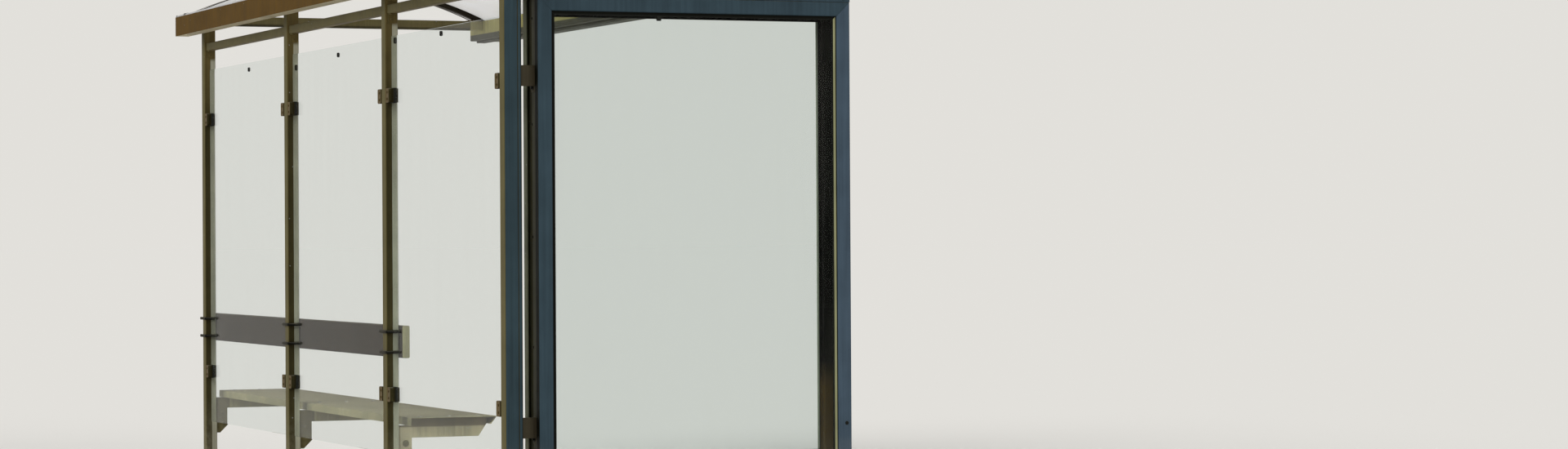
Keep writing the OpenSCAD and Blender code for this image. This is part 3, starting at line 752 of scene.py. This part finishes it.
# Rubber edges of the cover strips, on the sheet
EDGE_X, EDGE_APART = (0.0178, 0.0210), 0.0388
strip_edge = along_arch("strip_edge", EDGE_X[0], EDGE_X[1], SHEET_T, 0.0018)
fit(set_out(strip_edge, "strip_edges", [Matrix.Translation((x + shift, 0, 0)) for x in POST_X
                                        for shift in (0, -EDGE_APART)]), rubber)

# Pickled stainless steel, turned: a dull grey shine, its tool marks drawn 1.4 mm wide, ten
# times too coarse, so that they show
stainless = mottled("pickled_stainless_steel", "#77736A", "#A5A29A", (700, 700, 700), 3.0, (0.28, 0.5),
                    metallic=1.0, relief=(0.15, 0.0003))

# Screws along the cover strips, every 200 mm. They start 160 mm from the crown, because
# their heads would stand above the roof's highest line there.
strip_screw = round_head("strip_screw", 0.0070, 0.0030)
places = []
for x in POST_X:
    for reach in (-0.76, -0.56, -0.36, -0.16, 0.16, 0.36, 0.56, 0.76):
        turn = math.asin(reach / ARCH_R)
        way = Vector((0, math.sin(turn), math.cos(turn)))
        places.append(at(Vector((x, ARCH_Y, ARCH_Z)) + way * (ARCH_R + SHEET_T + STRIP_T), way))
    places += [at((x, y, FASCIA_TOP + SHEET_T + STRIP_T), UP) for y in (-0.86, 0.90)]
fit(set_out(strip_screw, "strip_screws", places), stainless)


# The display case: a door frame of mitred tube round a pane, in front of a body of folded
# sheet with a second pane. Rubber gaskets seal both panes, and a lock sits low on the
# right stile.
CASE_X, CASE_Y, CASE_Z = -2.490, -0.011, 1.246
# Half the width and height of the case, and how wide its frame is up to the edge of a pane
HALF_W, HALF_H, LIP = 0.686, 0.971, 0.072
# Dark powder coat, with a painted slate reflection of the sky on the outer face and painted
# shade that makes the sides and the rebates nearly black
case_paint = powder_coat("dark_coat_with_painted_slate_reflection", "#0B0C07", (
    (FAR_FACES, "#33372F"),
    (("place", NEAR, 2.4835, 2.4865), "#2F3E46")), wear=0.45, gloss=0.06)
# The same coat on the right stile, with the sunlight on its rebate painted in pale olive
stile_paint = powder_coat("stile_coat_with_painted_sunlight", "#0B0C07", (
    (("place", OUT, -0.6365, -0.6360), "#8C8D6A"),
    (FAR_FACES, "#33372F"),
    (("place", NEAR, 2.4835, 2.4865), "#3C4A56")), wear=0.45, gloss=0.06)
# Dark brown powder coat on the folded body, painted nearly black as the shade of the roof
# and browner low down as painted light from the ground
body_paint = powder_coat("dark_brown_coat_with_painted_shade", "#0C0D0A", (
    (("place", UP, 0.72, 0.60), "#3E321A"),
    (FAR_FACES, "#3A3931")), wear=0.4, gloss=0.05)
# Dark brown powder coat on the side towards the near post, with bands of painted shade and
# light across its depth, where the post shades the gap
side_paint = powder_coat("shaded_brown_powder_coat", "#4A4A3C", (
    (("place", NEAR, 2.3435, 2.3450), "#0E0D01"),
    (("place", NEAR, 2.362, 2.370), "#26230C"),
    (("place", NEAR, 2.382, 2.385), "#47453A"),
    (FAR_FACES, "#3A3931")), wear=0.4, gloss=0.05)
# Black brown powder coat of the legs and of the fittings that are bolted on, a little paler
# on the outer faces as painted light
leg_paint = powder_coat("black_brown_powder_coat", "#191813", (
    (OUT_FACES, "#26241B"),), wear=0.5, gloss=0.1)
coat(case_paint, "case_door_left_stile", "case_door_top_rail", "case_door_bottom_rail", "case_header")
coat(stile_paint, "case_door_right_stile")
coat(body_paint, "case_body_right", "case_body_top", "case_body_bottom")
coat(side_paint, "case_body_left")
coat(leg_paint, "case_leg_left", "case_leg_right")
# Brown grey powder coat of the brackets, dusty on the faces, with painted shade that makes
# them black below
bracket_paint = powder_coat("brown_grey_powder_coat", "#453F30", (
    (UNDER_FACES, "#0B0A06"),), gloss=0.08)
coat(bracket_paint, "case_bracket_upper", "case_bracket_lower")
# Clear float glass, wiped cleaner than the panes of the wall
case_glass = clear_glass("clean_float_glass", 0.003, 0.008)
coat(case_glass, "case_door_glass", "case_rear_glass")

# The gaskets: rubber rings on both sides of both panes
GASKET_W, GASKET_T = 0.003, 0.0042
PANES = ((-2.4747, -2.4687), (-2.3213, -2.3153))
edge_y, edge_z = HALF_W - LIP + LET_IN, HALF_H - LIP + LET_IN
gaskets = []
for front, back in PANES:
    for low, high in ((front - GASKET_T, front), (back, back + GASKET_T)):
        gasket = ring("gasket", (low, CASE_Y - edge_y, CASE_Z - edge_z),
                      (high, CASE_Y + edge_y, CASE_Z + edge_z), 0, GASKET_W)
        soften(gasket, 0.0008)
        gaskets.append(gasket)
fit(one_piece("case_gaskets", gaskets), rubber)

# Butyl tape, pressed on up the right edge of the rear pane: grey and dull, crazed by the
# weather in patches of 6 mm
butyl = mottled("weathered_butyl_tape", "#6F7766", "#9AA08E", (160, 160, 160), 5.0, (0.7, 0.95), gloss=0.2)
TAPE_T, TAPE_IN, TAPE_OUT = 0.0022, 0.0010, 0.0080
tape_x, tape_y = PANES[1][0], CASE_Y - HALF_W + LIP + GASKET_W
tape = block("rear_pane_tape", (tape_x - TAPE_T, tape_y - TAPE_IN, CASE_Z - HALF_H + LIP + GASKET_W),
             (tape_x, tape_y + TAPE_OUT, CASE_Z + HALF_H - LIP - GASKET_W))
round_edges(tape, 0.0015, 3, lambda middle, way: abs(way.z) > 0.9 and middle.x < tape_x - 0.001)
fit(tape, butyl)

# The lock: a turned barrel in a rose, with a slot for the key
LOCK_Y, LOCK_Z = -0.674, 0.465
rose = disc("rose", 0.0078, -LET_IN, 0.0012, sides=32)
soften(rose, 0.0005)
barrel = disc("barrel", 0.0056, -LET_IN, 0.0030, sides=32)
pick(barrel, "FACE", lambda middle, normal: normal.z > 0.9)
push(0.0010, -0.0008)
bpy.ops.mesh.inset(thickness=0.0008)
bpy.ops.transform.resize(value=(0.32, 1, 1), center_override=(0, 0, 0))
bpy.ops.mesh.extrude_region_move(TRANSFORM_OT_translate={"value": (0, 0, -0.0017)})
bpy.ops.object.mode_set(mode="OBJECT")
lock = one_piece("door_lock", [rose, barrel])
lock.data.transform(at((CASE_X, LOCK_Y, LOCK_Z), NEAR))
fit(lock, rubber)

# The catch in the rebate under the top rail, a moulded block with a sloping nose
CATCH_Y, CATCH_W, CATCH_TOP = 0.151, 0.022, 2.145
catch = block("door_catch", (-2.4855, CATCH_Y - CATCH_W / 2, CATCH_TOP - 0.0215),
              (-2.4790, CATCH_Y + CATCH_W / 2, CATCH_TOP))
pick(catch, "FACE", lambda middle, normal: normal.x < -0.9)
bpy.ops.transform.resize(value=(1, 0.8, 0.75), center_override=(0, CATCH_Y, CATCH_TOP))
soften(catch, 0.0015)
fit(catch, rubber)

# Screws of the header, of the body's sides and of the fittings inside the right side
HEADER_PITCH, HEADER_Z = 0.262, (2.232, 2.350)
SIDE_X, SIDE_IN, SIDE_Z = -2.385, 0.010, (0.36, 0.80, 1.246, 1.70, 2.13)
REVEAL_X, REVEAL_IN, REVEAL_Z = -2.400, 0.013, (1.18, 0.60, 0.455)
places = [at((CASE_X, CASE_Y + step * HEADER_PITCH, z), NEAR)
          for step in (-2.5, -1.5, -0.5, 0.5, 1.5, 2.5) for z in HEADER_Z]
places += [at((SIDE_X, CASE_Y + side * (HALF_W - SIDE_IN), z), (0, side, 0))
           for side in (-1, 1) for z in SIDE_Z]
places += [at((REVEAL_X, CASE_Y - HALF_W + REVEAL_IN, z), OUT) for z in REVEAL_Z]
case_screw = round_head("case_screw", 0.0065, 0.0032)
fit(set_out(case_screw, "case_screws", places), leg_paint)

# The case stands on two legs like the posts and is bolted to brackets on the near post
LEG_X, LEG_Y = -2.395, (0.625, -0.647)
for side, y in zip(("left", "right"), LEG_Y):
    stand("leg_" + side, LEG_X, y, (1.0, -0.5), body_paint)
for pattern in (anchor, bead):
    bpy.data.objects.remove(pattern)


WASHER_T = 0.0018


def hex_bolt(name, across, height):
    """A six-sided bolt head on a washer, standing on the XY plane."""
    washer = disc("washer", across * 0.95, -HEAD_IN, WASHER_T, sides=28)
    soften(washer, 0.0004, 1)
    head = disc("head", across / 2 / math.cos(math.pi / 6), WASHER_T - 0.0001, WASHER_T + height, sides=6)
    soften(head, height * 0.16, 1)
    return one_piece(name, [washer, head])


BRACKET_LOW = (0.410, 1.830)
bracket_bolt = hex_bolt("bracket_bolt", 0.013, 0.0065)
places = []
for low in BRACKET_LOW:
    places += [at((-2.452, 0.754, low + rise), (0, -1, 0)) for rise in (0.044, 0.088)]
    places += [at((-2.410, 0.671, low + rise), OUT) for rise in (0.020, 0.088)]
fit(set_out(bracket_bolt, "bracket_bolts", places), leg_paint)


# The bench: a folded steel seat on three arms bolted to the posts, and a board for the
# back that is strapped to the posts. Both are painted, and the seat's paint is worn thin.
TOP_FACES = ("facing", UP, 0.5, 0.9)
SEAT_TOP = 0.450
SEAT_X = POST_X[1:]
BENCH_X = (-0.890, 2.530)
# Beige grey paint, brushed on and worn thin by use: dull, blotchy, dusty on top, with
# painted shade on the faces underneath
bench_paint = powder_coat("worn_beige_grey_paint", "#7F785B", (
    (TOP_FACES, "#7A7256"),
    (UNDER_FACES, "#4C4733")), dust="#7F7862", wear=0.9, gloss=0.1)
# The same paint on the arms, less worn. The near one is painted pale as sunlit, with the
# shadow of the seat painted dark along its top; the others are painted darker as shaded,
# and darker still as painted shade where they meet their posts
near_arm_paint = powder_coat("sunlit_beige_grey_paint", "#90866A", (
    (("place", UP, 0.404, 0.410), "#5B503C"),), wear=0.8, gloss=0.05)
arm_paint = powder_coat("shaded_beige_grey_paint", "#7A7350", (
    (("place", OUT, 0.684, 0.690), "#4C4426"),), wear=0.7, gloss=0.05)
# Grey brown paint on the board, rolled on: matt, with no gloss left, darker on the back as
# painted shade and paler on top
board_paint = powder_coat("grey_brown_paint", "#332A20", (
    (OUT_FACES, "#241B12"),
    (TOP_FACES, "#4A4438")), dust="#6A6458", sheen=0.6, wear=0.7, gloss=0.0)
coat(bench_paint, "seat_panel")
coat(near_arm_paint, "seat_arm_1")
coat(arm_paint, "seat_arm_2", "seat_arm_3")
coat(board_paint, "backrest")
coat(leg_paint, "backrest_straps")

# Coach screws down through the seat into the arms, and bolts through the arms' feet
SEAT_SCREW_Y = (0.385, 0.52, 0.655)
ARM_SIDE, ARM_BOLT_Y, ARM_BOLT_Z = 0.020, 0.728, (0.285, 0.335)
seat_screw = round_head("seat_screw", 0.0095, 0.0036)
fit(set_out(seat_screw, "seat_screws", [at((x, y, SEAT_TOP), UP) for x in SEAT_X
                                        for y in SEAT_SCREW_Y]), stainless)
arm_bolt = hex_bolt("arm_bolt", 0.016, 0.008)
fit(set_out(arm_bolt, "arm_bolts", [at((x + side * ARM_SIDE, ARM_BOLT_Y, z), (side, 0, 0))
                                    for x in SEAT_X for side in (-1, 1) for z in ARM_BOLT_Z]),
    arm_paint)

# Pressed caps on the ends of the board, painted beige with the seat
BOARD_Y, BOARD_Z, CAP_T = (0.724, 0.756), (0.715, 0.858), 0.003
cap = block("board_cap", (-LET_IN, BOARD_Y[0], BOARD_Z[0]), (CAP_T, BOARD_Y[1], BOARD_Z[1]))
round_edges(cap, 0.006, 4, lambda middle, way: abs(way.x) > 0.9)
pick(cap, "FACE", lambda middle, normal: normal.x > 0.9)
bpy.ops.mesh.inset(thickness=0.0015)
bpy.ops.transform.translate(value=(0.0008, 0, 0))
bpy.ops.object.mode_set(mode="OBJECT")
# Beige paint on pressed steel: smooth, hardly worn, paler on top
cap_paint = powder_coat("beige_painted_steel_caps", "#7A7556", ((TOP_FACES, "#8C866E"),), wear=0.4)
board_caps = set_out(cap, "board_caps", [mirrored((BENCH_X[1], 0, 0), 1), mirrored((BENCH_X[0], 0, 0), -1)])
face_outwards(board_caps)
fit(board_caps, cap_paint)

# A flat bar across the back of each strap, and long studs that draw it, the ears of the
# strap and the board together on both sides of the post
STRAP_Z, EAR_Y, STRAP_BACK = (0.741, 0.832), 0.760, 0.8243
BAR_HALF, BAR_T, BAR_H, STUD_X = 0.051, 0.005, 0.0140, 0.0430
bar = block("strap_bar", (-BAR_HALF, STRAP_BACK, -BAR_H / 2), (BAR_HALF, STRAP_BACK + BAR_T, BAR_H / 2))
round_edges(bar, 0.005, 4, lambda middle, way: abs(way.y) > 0.9)
soften(bar, 0.0010)
fit(set_out(bar, "strap_bars", [Matrix.Translation((x, 0, z)) for x in SEAT_X for z in STRAP_Z]),
    leg_paint)

NUT_H = 0.0065
stud_rod = disc("stud_rod", 0.0042, -HEAD_IN, STRAP_BACK + BAR_T + 0.0015 - EAR_Y, sides=20)
soften(stud_rod, 0.0012)
stud_nut = disc("stud_nut", 0.0078, 0, NUT_H, sides=6)
soften(stud_nut, 0.0009, 1)
stud = one_piece("strap_stud", [stud_rod, stud_nut])
board_head = round_head("board_head", 0.0085, 0.0030)
spots = [(x + side * STUD_X, z) for x in SEAT_X for side in (-1, 1) for z in STRAP_Z]
fit(set_out(stud, "strap_studs", [at((x, EAR_Y, z), OUT) for x, z in spots]), leg_paint)
fit(set_out(board_head, "board_heads", [at((x, BOARD_Y[0], z), (0, -1, 0)) for x, z in spots]),
    stainless)
